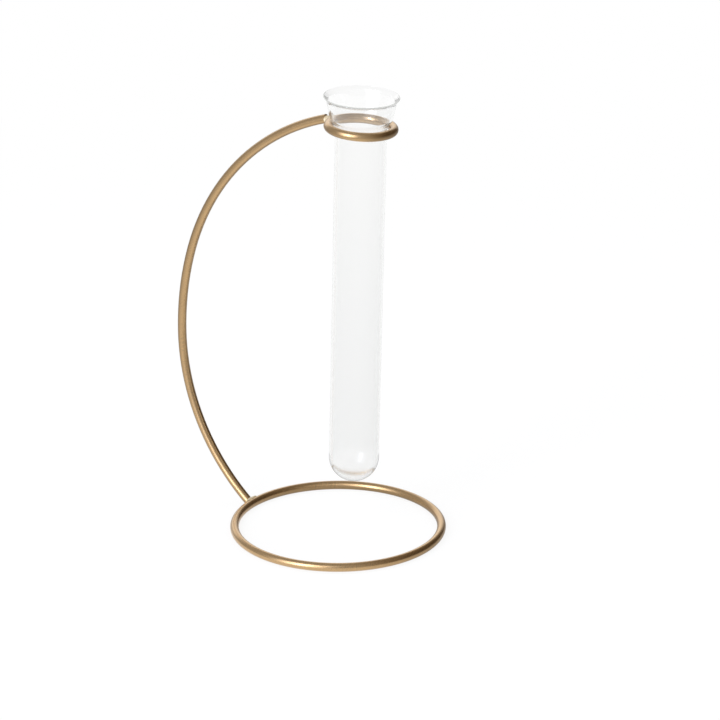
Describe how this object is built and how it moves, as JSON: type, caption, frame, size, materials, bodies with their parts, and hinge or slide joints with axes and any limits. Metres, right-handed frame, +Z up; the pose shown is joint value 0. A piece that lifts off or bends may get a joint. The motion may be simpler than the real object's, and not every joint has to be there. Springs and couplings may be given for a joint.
{
  "type": "test tube vase",
  "caption": "Glass test tube with a flared mouth that hangs in the wire collar of a bowed wire stand with a ring base.",
  "frame": {"origin": "centre of the base ring, on the surface that it stands on", "axes": "+Z up; the bowed stem is on the -X side, in the XZ plane; +Y is across the stem's plane"},
  "size_m": [0.1513, 0.1086, 0.2279],
  "materials": {
    "gold_wire": "satin",
    "weld_bead": "satin",
    "clear_glass": "polished"
  },
  "bodies": {
    "stand": {"base_ring": "gold_wire", "curved_stem": "gold_wire", "collar_ring": "gold_wire", "base_weld": "weld_bead", "collar_weld": "weld_bead"},
    "tube": {"test_tube": "clear_glass"}
  },
  "joints": [
    {"name": "tube_lift", "type": "slide", "parent": "stand", "child": "tube", "axis": [0.0384, -0.022, 0.999], "range_m": [0, 0.2]}
  ]
}
